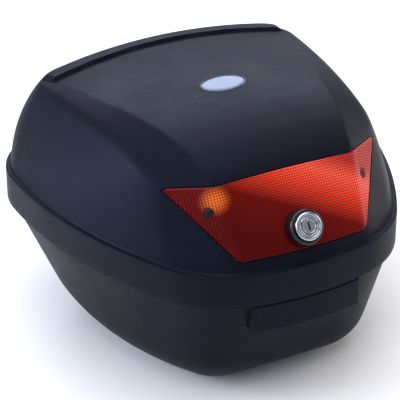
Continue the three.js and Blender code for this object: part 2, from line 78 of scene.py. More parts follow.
def finish(name, **principled):
    """New material with its Principled shader set, and the two as (material, shader)."""
    material = bpy.data.materials.new(name)
    material.use_nodes = True
    shader = material.node_tree.nodes["Principled BSDF"]
    for socket, value in principled.items():
        shader.inputs[socket.replace("_", " ").title().replace("Ior", "IOR")].default_value = value
    return material, shader


def add(material, kind, inputs=(), **settings):
    """Adds a node, sets its properties, and fills its inputs with values or links."""
    tree = material.node_tree
    node = tree.nodes.new(kind)
    for key, value in settings.items():
        setattr(node, key, value)
    for socket, value in dict(inputs).items():
        if isinstance(value, bpy.types.NodeSocket):
            tree.links.new(value, node.inputs[socket])
        else:
            node.inputs[socket].default_value = value
    return node


def per_metre(size_mm):
    """Noise scale that gives features of a size in millimetres on object coordinates."""
    return 1000 / size_mm


# Seamless card backdrop: matt, almost white, with a faint unevenness.
card, card_shader = finish("backdrop_card", base_color=linear("#f6f4ee"), roughness=0.9)
card_place = add(card, "ShaderNodeTexCoord")
card_cloud = add(card, "ShaderNodeTexNoise", {
    "Vector": card_place.outputs["Object"], "Scale": per_metre(900),
})
card_rough = add(card, "ShaderNodeMapRange", {
    "Value": card_cloud.outputs["Fac"], "To Min": 0.84, "To Max": 0.92,
})
card.node_tree.links.new(card_rough.outputs["Result"], card_shader.inputs["Roughness"])

floor_mesh = bpy.data.meshes.new("floor")
floor_mesh.from_pydata([(-6, -6, 0), (6, -6, 0), (6, 6, 0), (-6, 6, 0)], [], [(0, 1, 2, 3)])
floor = bpy.data.objects.new("floor", floor_mesh)
floor_mesh.materials.append(card)
scene.collection.objects.link(floor)

world = bpy.data.worlds.new("room")
world.use_nodes = True
world.node_tree.nodes["Background"].inputs["Color"].default_value = linear("#e4eaf8")
world.node_tree.nodes["Background"].inputs["Strength"].default_value = 0.45
scene.world = world

# name, place in metres, width and height in metres, watts, colour
SOFTBOXES = [
    ("light_back", (0.9, 2.1, 1.6), (2.4, 1.2), 38, "#e6ecff"),
    ("light_left", (-2.1, 0.8, 0.9), (1.2, 1.3), 46, "#dde6ff"),
    ("light_front_left", (-2.2, -1.3, 1.9), (1.4, 1.4), 22, "#dde6ff"),
    ("light_right", (2.1, -0.1, 0.7), (1.2, 1.2), 15, "#fff4ea"),
    ("light_top", (0, -0.2, 3.2), (3.4, 3.4), 86, "#fbfaff"),
]
for name, place, (width, height), watts, colour in SOFTBOXES:
    panel = bpy.data.lights.new(name, "AREA")
    panel.shape = "RECTANGLE"
    panel.size, panel.size_y = width, height
    panel.energy = watts
    panel.color = linear(colour)[:3]
    softbox = bpy.data.objects.new(name, panel)
    softbox.location = place
    softbox.rotation_mode = "QUATERNION"
    softbox.rotation_quaternion = (AIM - Vector(place)).to_track_quat("-Z", "Y")
    scene.collection.objects.link(softbox)


# ---- Black polypropylene ----
# The lid, the tub and what is moulded on them: injection-moulded polypropylene, black with a
# blue cast. The tool is spark-eroded, so the skin is a fine even grain with a dull sheen.
GRAIN_MM = 1.3  # the real grain is about 0.4 mm; it is drawn this coarse so that it shows
FLOW_MM = 60  # slow change of sheen where the melt flowed
SCUFF_MM = 9

polypropylene, pp_shader = finish(
    "moulded_polypropylene", base_color=linear("#0f1016"), roughness=0.46, ior=1.49,
    specular_ior_level=0.15, specular_tint=linear("#bcc8ff"),
)
pp_place = add(polypropylene, "ShaderNodeTexCoord")
pp_grain = add(polypropylene, "ShaderNodeTexNoise", {
    "Vector": pp_place.outputs["Object"], "Scale": per_metre(GRAIN_MM), "Detail": 3.0, "Roughness": 0.6,
})
pp_flow = add(polypropylene, "ShaderNodeTexNoise", {
    "Vector": pp_place.outputs["Object"], "Scale": per_metre(FLOW_MM), "Detail": 2.0,
})
pp_scuff = add(polypropylene, "ShaderNodeTexNoise", {
    "Vector": pp_place.outputs["Object"], "Scale": per_metre(SCUFF_MM), "Detail": 6.0, "Roughness": 0.7,
})
pp_sheen = add(polypropylene, "ShaderNodeMath", {
    0: pp_flow.outputs["Fac"], 1: pp_scuff.outputs["Fac"],
}, operation="ADD")
pp_rough = add(polypropylene, "ShaderNodeMapRange", {
    "Value": pp_sheen.outputs["Value"], "From Min": 0.7, "From Max": 1.3, "To Min": 0.44, "To Max": 0.56,
})
pp_tone = add(polypropylene, "ShaderNodeValToRGB", {"Fac": pp_grain.outputs["Fac"]})
pp_tone.color_ramp.elements[0].color = linear("#06070b")
pp_tone.color_ramp.elements[0].position = 0.35
pp_tone.color_ramp.elements[1].color = linear("#0e1017")
pp_tone.color_ramp.elements[1].position = 0.65
pp_bump = add(polypropylene, "ShaderNodeBump", {
    "Height": pp_grain.outputs["Fac"], "Strength": 0.55, "Distance": 0.00025,
})
for output, socket in (
    (pp_tone.outputs["Color"], "Base Color"), (pp_rough.outputs["Result"], "Roughness"),
    (pp_bump.outputs["Normal"], "Normal"),
):
    polypropylene.node_tree.links.new(output, pp_shader.inputs[socket])


# ---- Lid shell ----
# One thin injection moulding, 3 mm thick: a skirt that hangs over the tub, a ledge, a dome
# with a raised lip at the back of its top, and a slanted face cut for the reflector.
WALL = 3
RIM = (-192.3, ((290, 13.6), (98.5, 44.6), (446, 31.4), (77, 67)))
CROWN = (-159.2, ((200, 13), (103, 65.2), (918, 11.87), (28, 78.4)))
SKIRT_TOP = 36.3
CROWN_Z = 125
LEDGE = 5
COLUMNS = 720


def outline_at(outline, heading):
    """Plan position on an outline of tangent arcs where it runs at a heading, in degrees."""
    y, arcs = outline
    starts = np.radians(np.cumsum([0] + [sweep for _, sweep in arcs]))
    end_x = sum(r * (math.sin(b) - math.sin(a)) for (r, _), a, b in zip(arcs, starts, starts[1:]))
    radii = [r for r, _ in arcs] + [end_x / math.sin(starts[-1])]
    ends = list(starts[1:]) + [math.pi]
    x, y = 0 * heading, y + 0 * heading
    for radius, start, end in zip(radii, starts, ends):
        to = np.clip(np.radians(heading), start, end)
        x = x + radius * (np.sin(to) - math.sin(start))
        y = y + radius * (math.cos(start) - np.cos(to))
    return x, y


def even_columns(outline, count):
    """Headings of evenly spaced columns round an outline, and the side that each is on."""
    fine = np.linspace(0, 180, 3601)
    x, y = outline_at(outline, fine)
    run = np.concatenate([[0], np.cumsum(np.hypot(np.diff(x), np.diff(y)))])
    run += 0.25 * fine  # keeps columns on the tight corners of the crown too
    right = np.interp(np.linspace(0, run[-1], count // 2 + 1), run, fine)
    return np.concatenate([right, right[-2:0:-1]]), np.concatenate([right * 0 + 1, right[-2:0:-1] * 0 - 1])


heading, side = even_columns(RIM, COLUMNS)
out_x, out_y = side * np.sin(np.radians(heading)), -np.cos(np.radians(heading))
rim_x, rim_y = outline_at(RIM, heading)
rim_x = rim_x * side
crown_x, crown_y = outline_at(CROWN, heading)
crown_x = crown_x * side


def smooth(value, low, high):
    """Smooth step from 0 at low to 1 at high."""
    share = np.clip((value - low) / (high - low), 0, 1)
    return share * share * (3 - 2 * share)


def rim_ring(inset, z):
    """Ring of points at an inset from the rim outline."""
    return np.stack([rim_x - inset * out_x, rim_y - inset * out_y, 0 * rim_x + z], -1)


def lid_wall(z, inset):
    """Plan position of the dome's wall at height z, fuller at the back corners."""
    rise = (z - SKIRT_TOP) / (CROWN_Z - SKIRT_TOP)
    bulge = (1 + 10 * smooth(heading, 55, 150)) * 4 * rise * (1 - rise)
    move = np.maximum(bulge, 0) - inset
    x = (rim_x - LEDGE * out_x) * (1 - rise) + crown_x * rise + move * out_x
    y = (rim_y - LEDGE * out_y) * (1 - rise) + crown_y * rise + move * out_y
    return x, y


# y, height on the centre line, distance of the crease from the centre line
PANEL = np.array([
    (-200, 30, 60), (-150, 98, 71), (-142, 108, 73.5), (-135, 115.5, 75.5), (-128, 121.6, 77),
    (-120, 127, 78.3), (-108, 132.9, 81.6), (-95, 137.3, 85.4), (-75, 141.8, 90), (-55, 144.4, 94.4),
    (-35, 145.4, 99.2), (-14, 145.4, 104), (6, 144.4, 109), (27, 142.5, 113.9), (53, 140.2, 118.7),
    (79, 137.4, 123.2), (100, 134.9, 127.4), (119, 132.4, 131.3), (140, 129.6, 135), (170, 125.4, 140),
])
# y, slope of the facet beside the crease
FACET = np.array([
    (-175, 0.85), (-135, 0.75), (-105, 0.69), (-66, 0.54), (-5, 0.48), (67, 0.35), (119, 0.2), (170, 0.2),
])
LIP_HEIGHT = 4.2
LIP_Y, LIP_SWEEP = 136.5, 8.3  # where the lip runs on the centre line, and its sweep 100 mm out
ROOF_CROWN = 7.2  # fall of the panel from its centre line to 108 mm out
CREASE_SOFT = 0.8  # the three softnesses are in millimetres
FACE_SOFT = 1.6
WALL_SOFT = 2.0

# The tables eased over a few millimetres, so that the panel has no kinks between their rows.
along = np.arange(-260.0, 261.0)
ease = np.exp(-0.5 * (np.arange(-15, 16) / 5.0) ** 2)
ease /= ease.sum()
eased = [
    np.convolve(np.interp(np.arange(-275.0, 276.0), table[:, 0], table[:, k]), ease, "valid")
    for table, k in ((PANEL, 1), (PANEL, 2), (FACET, 1))
]


def roof_height(x, y):
    """Height of the top panel, the facets beside it and the lip along its back."""
    centre, crease, slope = (np.interp(y, along, values) for values in eased)
    past = np.abs(x) - crease
    facet = np.logaddexp(0, past / CREASE_SOFT) * CREASE_SOFT
    inner = np.abs(x) - facet
    lip_y = LIP_Y - LIP_SWEEP * (x / 100) ** 2
    lip = LIP_HEIGHT * smooth(y, lip_y - 6.4, lip_y - 3.8) * (1 - smooth(facet, 0, 7))
    return centre - ROOF_CROWN * (inner / 108) ** 2 - slope * facet + lip


TILT = math.atan2(0.574, 0.819)  # of the lock axis above the horizontal
FACE_N = 174.5  # the face's middle panel, along the lock's axis
WING = (0.569, -0.7023, 0.4278)  # outward direction of the wings, the right one
WING_N = 185.8
WING_ALONG, WING_OUT = 0.0527, 0.8208  # the wing's fall up the face, and its share of the lock's axis


def soft_max(a, b, radius):
    """The larger of two distances, rounded where they meet."""
    return np.logaddexp(a / radius, b / radius) * radius


def bow(x, s):
    """How far the middle panel stands proud: 6 mm at its foot, 2 mm at its head, none at the wings."""
    return (6 - 4 * np.clip((s + 62) / 77, 0, 1)) * np.maximum(0, 1 - (x / 74) ** 2)


def beyond_top(x, y, z, drop, depth):
    """Distance outside the roof and the reflector face, negative inside."""
    s = y * math.sin(TILT) + z * math.cos(TILT)
    n = z * math.sin(TILT) - y * math.cos(TILT)
    middle = n - FACE_N - bow(x, s) + depth
    wing = WING[0] * np.abs(x) + WING[1] * y + WING[2] * z - WING_N + depth
    roof = (z - roof_height(x, y) + drop) * 0.92
    return soft_max(soft_max(middle, wing, FACE_SOFT), roof, 1.0)


def beyond_dome(u, z, inset, drop, depth):
    """Distance outside the dome at u inwards from its wall at height z."""
    x, y = lid_wall(z, inset)
    higher = lid_wall(z + 1, inset)
    lean = (higher[0] - x) * out_x + (higher[1] - y) * out_y
    wall = -u / np.sqrt(1 + lean ** 2)
    x, y = x - u * out_x, y - u * out_y
    return soft_max(wall, beyond_top(x, y, z, drop, depth), WALL_SOFT), x, y


def solved(beyond, start, end):
    """Point between start, inside, and end, outside, where the distance is zero."""
    low = np.zeros(np.broadcast(*start, *end).shape)
    high = low + 1
    for _ in range(20):
        mid = (low + high) / 2
        inside = beyond(*[a + (b - a) * mid for a, b in zip(start, end)]) < 0
        low, high = np.where(inside, mid, low), np.where(inside, high, mid)
    return [a + (b - a) * high for a, b in zip(start, end)]


def dome_rows(first_z, inset, drop, depth, levels=30, fan=26, rings=130):
    """Rows of points up the dome's wall, over its edge and in to the centre."""
    reach = 13.0  # less than the tightest corner's radius, so that the rows don't cross
    top = np.full(COLUMNS, 60.0)
    for _ in range(4):
        x, y = lid_wall(top, inset)
        x, y = x - reach * out_x, y - reach * out_y
        top = solved(lambda z: beyond_top(x, y, z, drop, depth), [-40 + 0 * x], [220 + 0 * x])[0]
    pivot = np.maximum(top - reach, first_z + 2)

    def gap(u, z):
        return beyond_dome(u, z, inset, drop, depth)[0]

    share = np.linspace(0, 1, levels)[:, None]
    z = first_z + (pivot - first_z) * share
    u, z = solved(gap, [reach + 0 * z, z], [-2 + 0 * z, z])
    wall_rows = np.stack([*beyond_dome(u, z, inset, drop, depth)[1:], z], -1)
    turn = np.radians(np.linspace(0, 90, fan + 1)[1:, None])
    start = [reach + 0 * pivot + 0 * turn, pivot + 0 * turn]
    end = [reach - 70 * np.cos(turn) + 0 * pivot, pivot + 70 * np.sin(turn)]
    u, z = solved(gap, start, end)
    edge_rows = np.stack([*beyond_dome(u, z, inset, drop, depth)[1:], z], -1)
    inwards = (1 - np.arange(1, rings) / rings)[:, None]
    x, y = edge_rows[-1, :, 0] * inwards, edge_rows[-1, :, 1] * inwards
    z = solved(lambda h: beyond_top(x, y, h, drop, depth), [-40 + 0 * x], [220 + 0 * x])[0]
    return np.concatenate([wall_rows, edge_rows, np.stack([x, y, z], -1)])


CENTRE_Y = 6.07
SKIRT_Z = 128


def to_metres(points):
    """Millimetres from the lid's lower edge to metres in the case's frame."""
    return (np.asarray(points) + (0, -CENTRE_Y, SKIRT_Z)) / 1000


def new_piece(name, points, faces, material, sharp=38):
    """Smooth-shaded object from points in millimetres, its sharp edges kept by angle."""
    mesh = bpy.data.meshes.new(name)
    mesh.from_pydata(to_metres(points).tolist(), [], faces)
    mesh.materials.append(material)
    mesh.shade_smooth()
    mesh.set_sharp_from_angle(angle=math.radians(sharp))
    piece = bpy.data.objects.new(name, mesh)
    scene.collection.objects.link(piece)
    return piece


def ring_faces(rows, columns, closed=False):
    """Quads between rows of a ring grid, with fans to two poles unless it closes on itself."""
    column = np.arange(columns)
    after = (column + 1) % columns
    quads = []
    for row in range(rows if closed else rows - 1):
        a, b = row * columns, ((row + 1) % rows) * columns
        quads.append(np.stack([a + column, a + after, b + after, b + column], -1))
    faces = np.concatenate(quads).tolist()
    if not closed:
        last = (rows - 1) * columns
        first_pole, last_pole = rows * columns, rows * columns + 1
        faces += [(first_pole, b, a) for a, b in zip(column.tolist(), after.tolist())]
        faces += [(last_pole, last + a, last + b) for a, b in zip(column.tolist(), after.tolist())]
    return faces


def poled(rows):
    """Points of a ring grid with its two poles added."""
    poles = [rows[0].mean(0), rows[-1].mean(0)]
    return np.concatenate([rows.reshape(-1, 3), poles])


SKIRT_PROFILE = [  # inset and height, from inside the ledge, round the lower edge and over
    (8.6, 34.2), (8.6, 26.9), (8.3, 26.3), (6.9, 26.3), (6.6, 26.9), (6.6, 33), (6.3, 33.3), (3.5, 33.3),
    (3, 32.8), (3, 22), (3, 11), (3, 0.5), (2.7, 0.1), (2.3, 0), (1.2, 0), (0.5, 0.15), (0.12, 0.5), (0, 1.1),
    (0, 9), (0, 18), (0, 27), (0, 34), (0.05, 35), (0.3, 35.75), (0.8, 36.2), (1.5, 36.35), (3.2, 36.4),
    (4.2, 36.5), (4.7, 36.8),
]
inner_rows = dome_rows(35.0, WALL, WALL, 8.5, levels=14, fan=12, rings=60)[::-1]
outer_rows = dome_rows(37.5, 0, 0, 0)
skirt_rows = np.stack([rim_ring(inset, z) for inset, z in SKIRT_PROFILE])
lid_rows = np.concatenate([inner_rows, skirt_rows, outer_rows])
lid_skin = new_piece("lid_skin", poled(lid_rows), ring_faces(len(lid_rows), COLUMNS), polypropylene)


def face_point(x, s, depth):
    """Point on the reflector face at x across and s up it, at a depth below it."""
    middle = FACE_N + bow(x, s) - depth
    wing = (WING_N - depth - WING[0] * np.abs(x) + WING_ALONG * s) / WING_OUT
    n = -soft_max(-middle, -wing, 1.9)
    y = s * math.sin(TILT) - n * math.cos(TILT)
    z = s * math.cos(TILT) + n * math.sin(TILT)
    return np.stack([x + 0 * n, y, z], -1)


LENS_FOOT = np.array([(0, -64.5), (40, -63.6), (66, -62), (71.5, -59), (74, -54)])
LENS_HEAD = np.array([(0, 15.5), (75, 14.2), (113, 25), (116.5, 24)])
EDGE_STEPS = np.array([0, 0.2, 0.5, 1.0])  # millimetres in from the edge
EDGE_DROPS = np.array([1.0, 0.42, 0.12, 0.0])


def lens_sheet(margin, across, up):
    """x and s of a grid inside the reflector's outline, denser at its edge, and its edge drop."""
    a = np.linspace(-1, 1, across)
    a = np.concatenate([-1 + EDGE_STEPS / 95, a[(a > -0.985) & (a < 0.985)], (1 - EDGE_STEPS / 95)[::-1]])
    b = np.linspace(0, 1, up)
    b = np.concatenate([EDGE_STEPS / 80, b[(b > 0.02) & (b < 0.98)], (1 - EDGE_STEPS / 80)[::-1]])
    drop_a = np.interp(1 - np.abs(a), EDGE_STEPS / 95, EDGE_DROPS)
    drop_b = np.interp(np.minimum(b, 1 - b), EDGE_STEPS / 80, EDGE_DROPS)
    foot_x = a * (74 - margin)
    foot_s = np.interp(np.abs(foot_x), LENS_FOOT[:, 0], LENS_FOOT[:, 1]) + margin
    head_x = a * (116.5 - 1.9 * margin)
    head_s = np.interp(np.abs(head_x), LENS_HEAD[:, 0], LENS_HEAD[:, 1]) - margin
    x = foot_x * (1 - b[:, None]) + head_x * b[:, None]
    s = foot_s * (1 - b[:, None]) + head_s * b[:, None]
    return x, s, np.maximum(drop_a, drop_b[:, None])


def slab_piece(name, front, back, material, sharp=38):
    """Closed sheet between two grids of points in millimetres."""
    rows, columns = front.shape[:2]
    count = rows * columns
    index = np.arange(count).reshape(rows, columns)
    a, b, c, d = index[:-1, :-1], index[:-1, 1:], index[1:, 1:], index[1:, :-1]
    faces = np.stack([a, b, c, d], -1).reshape(-1, 4).tolist()
    faces += (np.stack([a, d, c, b], -1) + count).reshape(-1, 4).tolist()
    edge = np.concatenate([index[0, :-1], index[:-1, -1], index[-1, :0:-1], index[:0:-1, 0]])
    faces += [(p, p + count, q + count, q) for p, q in zip(edge.tolist(), np.roll(edge, -1).tolist())]
    points = np.concatenate([front.reshape(-1, 3), back.reshape(-1, 3)])
    return new_piece(name, points, faces, material, sharp)


def turned_piece(name, profile, place, material, segments=96, sharp=38):
    """Lathe-turned object from radius and height pairs, moved by a matrix in millimetres."""
    turn = np.arange(segments) * 2 * np.pi / segments
    rows = np.array([[(r * np.cos(t), r * np.sin(t), h) for t in turn] for r, h in profile])
    closed = profile[0] == profile[-1]
    if closed:
        points, faces = rows[:-1].reshape(-1, 3), ring_faces(len(rows) - 1, segments, closed=True)
    else:
        points, faces = poled(rows), ring_faces(len(rows), segments)
    homogeneous = np.concatenate([points, np.ones((len(points), 1))], 1)
    return new_piece(name, (homogeneous @ np.array(place).T)[:, :3], faces, material, sharp)


def settle(piece):
    """Applies a piece's modifiers to its mesh."""
    evaluated = piece.evaluated_get(bpy.context.evaluated_depsgraph_get())
    mesh = bpy.data.meshes.new_from_object(evaluated)
    piece.modifiers.clear()
    piece.data = mesh


def carve(piece, cutter, operation="DIFFERENCE"):
    """Cuts a piece with another, or joins it, and removes the other."""
    cut = piece.modifiers.new("cut", "BOOLEAN")
    cut.operation = operation
    cut.solver = "EXACT"
    cut.object = cutter
    settle(piece)
    bpy.data.objects.remove(cutter)
    piece.data.set_sharp_from_angle(angle=math.radians(38))


BADGE_PLACE = (0, -5.6, 144.8)


def oval_piece(name, half_axes, profile, material):
    """Oval body about the badge's middle from pairs of inset and height."""
    turn = np.arange(96) * 2 * np.pi / 96
    out = np.stack([np.cos(turn) / half_axes[0], np.sin(turn) / half_axes[1]], -1)
    out /= np.linalg.norm(out, axis=1)[:, None]
    rim = np.stack([np.cos(turn) * half_axes[0], np.sin(turn) * half_axes[1]], -1)
    rows = np.array([np.column_stack([rim - inset * out, turn * 0 + z]) for inset, z in profile])
    return new_piece(name, poled(rows + BADGE_PLACE), ring_faces(len(rows), 96), material)


carve(lid_skin, oval_piece("seat", (25.7, 16.7), [(2, -1.6), (0, -1.6), (0, 6), (2, 6)], polypropylene))
x, s, _ = lens_sheet(-0.9, 60, 30)
pocket = slab_piece("pocket", face_point(x, s, -12), face_point(x, s, 5), polypropylene)
carve(lid_skin, pocket)

ON_LOCK = Matrix((  # millimetre frame of the lock: +Z out along its axis
    (1, 0, 0, 0),
    (0, math.sin(TILT), -math.cos(TILT), -45 * math.sin(TILT)),
    (0, math.cos(TILT), math.sin(TILT), -45 * math.cos(TILT)),
    (0, 0, 0, 1),
))
carve(lid_skin, turned_piece("lock_bore", [(10.4, 150), (10.4, 172)], ON_LOCK, polypropylene))


def riding(piece, body, slot_name, *nodes):
    """Fixes a piece to a body and hides the nodes that it stands for; slot_name is not used."""
    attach(piece, body)
    if nodes:
        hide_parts(*nodes)


riding(lid_skin, "lid", "case", "lid_shell")


# ---- Reflector ----
# A clear red acrylic moulding, smooth outside with square prisms moulded on its back, held in
# the lid's pocket over a grey backing plate by two black screws.
PRISM_MM = 2.6

# Its faint emission is a painted glow.
acrylic, acrylic_shader = finish(
    "red_acrylic", base_color=linear("#b3140c"), roughness=0.3, ior=1.49, specular_ior_level=0.06,
    coat_weight=0.14, coat_roughness=0.06, coat_ior=1.49, emission_strength=0.4,
)
ac_place = add(acrylic, "ShaderNodeTexCoord")
ac_face = add(acrylic, "ShaderNodeMapping", {
    "Vector": ac_place.outputs["Object"], "Rotation": (TILT, 0, 0), "Scale": (1000, 1000, 1000),
})
ac_axes = add(acrylic, "ShaderNodeSeparateXYZ", {"Vector": ac_face.outputs["Vector"]})
ac_prism_x = add(acrylic, "ShaderNodeMath", {0: ac_axes.outputs["X"], 1: PRISM_MM / 2}, operation="PINGPONG")
ac_prism_s = add(acrylic, "ShaderNodeMath", {0: ac_axes.outputs["Z"], 1: PRISM_MM / 2}, operation="PINGPONG")
ac_height = add(acrylic, "ShaderNodeMath", {
    0: ac_prism_x.outputs["Value"], 1: ac_prism_s.outputs["Value"],
}, operation="MINIMUM")
ac_depth = add(acrylic, "ShaderNodeMapRange", {
    "Value": ac_height.outputs["Value"], "From Min": 0.0, "From Max": PRISM_MM / 2,
    "To Min": 0.22, "To Max": 1.3,
})
# Painted light and shade: darker towards the left end and low down, brighter towards the right, in place of
# the light that the prisms would catch.
ac_painted_light_across = add(acrylic, "ShaderNodeMapRange", {
    "Value": ac_axes.outputs["X"], "From Min": -115.0, "From Max": 95.0, "To Min": 0.0, "To Max": 0.9,
})
ac_painted_light_up = add(acrylic, "ShaderNodeMapRange", {
    "Value": ac_axes.outputs["Z"], "From Min": 42.0, "From Max": 112.0, "To Min": -0.34, "To Max": 0.24,
})
ac_painted_light_share = add(acrylic, "ShaderNodeMath", {
    0: ac_painted_light_across.outputs["Result"], 1: ac_painted_light_up.outputs["Result"],
}, operation="ADD")
ac_painted_light_ramp = add(acrylic, "ShaderNodeValToRGB", {"Fac": ac_painted_light_share.outputs["Value"]})
ac_painted_light_ramp.color_ramp.elements[0].color = linear("#550302")
ac_painted_light_ramp.color_ramp.elements[0].position = 0.05
ac_painted_light_ramp.color_ramp.elements[1].color = linear("#b5302a")
for position, colour in ((0.44, "#6d0904"), (0.66, "#e03a22"), (0.84, "#ff5a42")):
    ac_painted_light_ramp.color_ramp.elements.new(position).color = linear(colour)
# Painted highlight: an orange gleam near the left end.
ac_flat = add(acrylic, "ShaderNodeCombineXYZ", {"X": ac_axes.outputs["X"], "Z": ac_axes.outputs["Z"]})
ac_reach = add(acrylic, "ShaderNodeVectorMath", {
    0: ac_flat.outputs["Vector"], 1: (-77.0, 0.0, 103.0),
}, operation="DISTANCE")
ac_painted_highlight = add(acrylic, "ShaderNodeMapRange", {
    "Value": ac_reach.outputs["Value"], "From Min": 2.0, "From Max": 17.0, "To Min": 0.7, "To Max": 0.0,
}, interpolation_type="SMOOTHSTEP")
ac_with_painted_highlight = add(acrylic, "ShaderNodeMix", {
    "Factor": ac_painted_highlight.outputs["Result"], "A": ac_painted_light_ramp.outputs["Color"], "B": linear("#ff7a2e"),
}, data_type="RGBA")
ac_tone = add(acrylic, "ShaderNodeVectorMath", {
    0: ac_with_painted_highlight.outputs["Result"], "Scale": ac_depth.outputs["Result"],
}, operation="SCALE")
ac_bump = add(acrylic, "ShaderNodeBump", {
    "Height": ac_height.outputs["Value"], "Strength": 0.35, "Distance": 0.0003,
})
# The painted light and highlight feed both the base colour and a faint emission, so the reflector glows a
# little though it is no lamp.
for socket in ("Base Color", "Emission Color"):
    acrylic.node_tree.links.new(ac_tone.outputs["Vector"], acrylic_shader.inputs[socket])
acrylic.node_tree.links.new(ac_bump.outputs["Normal"], acrylic_shader.inputs["Normal"])

x, s, drop = lens_sheet(0, 150, 60)
reflector = slab_piece("reflector_moulding", face_point(x, s, drop), face_point(x, s, 3 + 0 * x), acrylic)
carve(reflector, turned_piece("collar_hole", [(18.4, 150), (18.4, 210)], ON_LOCK, acrylic))


WING_SCREW = (85.4, -141.2, 89)


def on_wing(sign):
    """Millimetre frame of a wing screw: +Z out of the reflector."""
    out = Vector((sign * WING[0], WING[1], WING[2])).normalized()
    turn = Vector((0, 0, 1)).rotation_difference(out).to_matrix().to_4x4()
    x, y, z = WING_SCREW
    return Matrix.Translation((sign * x, y, z)) @ turn


for sign in (-1, 1):
    carve(reflector, turned_piece("screw_hole", [(5.3, -2), (5.3, 8)], on_wing(sign), acrylic, 48))
riding(reflector, "lid", "lens", "reflector_lens")


# ---- Backing plate ----
# A plain grey plate behind the reflector that keeps dust out of the prisms. Injection-moulded
# polypropylene without grain; only its edge shows, as a thin line round the reflector.
backing, backing_shader = finish("grey_polypropylene", base_color=linear("#8c8f92"), roughness=0.5, ior=1.49)
backing_place = add(backing, "ShaderNodeTexCoord")
backing_mottle = add(backing, "ShaderNodeTexNoise", {
    "Vector": backing_place.outputs["Object"], "Scale": per_metre(4), "Detail": 4.0,
})
backing_rough = add(backing, "ShaderNodeMapRange", {
    "Value": backing_mottle.outputs["Fac"], "To Min": 0.4, "To Max": 0.6,
})
backing_bump = add(backing, "ShaderNodeBump", {
    "Height": backing_mottle.outputs["Fac"], "Strength": 0.3, "Distance": 0.0001,
})
backing.node_tree.links.new(backing_rough.outputs["Result"], backing_shader.inputs["Roughness"])
backing.node_tree.links.new(backing_bump.outputs["Normal"], backing_shader.inputs["Normal"])


def refinished(node, material, edge_mm=0.3):
    """Gives a node of the frame its finish and eases its edges."""
    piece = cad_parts[node]
    piece.data.materials.clear()
    piece.data.materials.append(material)
    eased_edge = piece.modifiers.new("eased_edge", "BEVEL")
    eased_edge.width = edge_mm / 1000
    eased_edge.segments = 2
    eased_edge.limit_method = "ANGLE"
    eased_edge.angle_limit = math.radians(50)


refinished("reflector_carrier", backing)


# ---- Badge ----
# A blank domed oval label, pale blue-grey under clear resin, in a smooth black rim that is
# pressed into a seat in the lid.
resin, resin_shader = finish(
    "domed_resin_label", base_color=linear("#6a7895"), roughness=0.3, ior=1.5, specular_ior_level=0.3,
    coat_weight=0.3, coat_roughness=0.1,
)
resin_place = add(resin, "ShaderNodeTexCoord")
resin_cloud = add(resin, "ShaderNodeTexNoise", {
    "Vector": resin_place.outputs["Object"], "Scale": per_metre(14), "Detail": 2.0,
})
resin_tone = add(resin, "ShaderNodeValToRGB", {"Fac": resin_cloud.outputs["Fac"]})
resin_tone.color_ramp.elements[0].color = linear("#5f6d8c")
resin_tone.color_ramp.elements[1].color = linear("#74839f")
resin.node_tree.links.new(resin_tone.outputs["Color"], resin_shader.inputs["Base Color"])

gloss_black, gloss_shader = finish("smooth_black_abs", base_color=linear("#0d0d11"), roughness=0.28, ior=1.53)
gloss_place = add(gloss_black, "ShaderNodeTexCoord")
gloss_haze = add(gloss_black, "ShaderNodeTexNoise", {
    "Vector": gloss_place.outputs["Object"], "Scale": per_metre(6), "Detail": 5.0,
})
gloss_rough = add(gloss_black, "ShaderNodeMapRange", {
    "Value": gloss_haze.outputs["Fac"], "To Min": 0.2, "To Max": 0.38,
})
gloss_bump = add(gloss_black, "ShaderNodeBump", {
    "Height": gloss_haze.outputs["Fac"], "Strength": 0.2, "Distance": 0.0001,
})
gloss_black.node_tree.links.new(gloss_rough.outputs["Result"], gloss_shader.inputs["Roughness"])
gloss_black.node_tree.links.new(gloss_bump.outputs["Normal"], gloss_shader.inputs["Normal"])

badge_rim = oval_piece("badge_rim", (25.4, 16.4), [
    (9, -1.3), (0.3, -1.3), (0, -1), (0, 0.1), (0.15, 0.55), (0.6, 0.85), (1.1, 0.85), (1.55, 0.6),
    (1.8, 0.2), (1.85, -0.25), (2.4, -0.3), (9, -0.3),
], gloss_black)
riding(badge_rim, "lid", "black_gloss", "badge_bezel")
badge_label = oval_piece("badge_label", (23.3, 14.3), [
    (6, 0), (0.1, 0), (0, 0.15), (0, 0.35), (0.2, 0.65), (0.7, 0.95), (1.6, 1.15), (3.2, 1.3), (6, 1.38),
    (9, 1.4),
], resin)
riding(badge_label, "lid", "badge", "badge_plate")


# ---- Lock ----
# A zinc die-cast cylinder lock with a polished chrome face. A black collar clamps it to the
# lid, with a hexagon nut inside. The plug turns with the key and carries the latch cam.
chrome, chrome_shader = finish("polished_chrome", base_color=linear("#b9bcc2"), roughness=0.16, metallic=1.0)
chrome_place = add(chrome, "ShaderNodeTexCoord")
chrome_haze = add(chrome, "ShaderNodeTexNoise", {
    "Vector": chrome_place.outputs["Object"], "Scale": per_metre(3), "Detail": 6.0,
})
chrome_rough = add(chrome, "ShaderNodeMapRange", {
    "Value": chrome_haze.outputs["Fac"], "To Min": 0.1, "To Max": 0.24,
})
chrome_bump = add(chrome, "ShaderNodeBump", {
    "Height": chrome_haze.outputs["Fac"], "Strength": 0.15, "Distance": 0.00005,
})
chrome.node_tree.links.new(chrome_rough.outputs["Result"], chrome_shader.inputs["Roughness"])
chrome.node_tree.links.new(chrome_bump.outputs["Normal"], chrome_shader.inputs["Normal"])

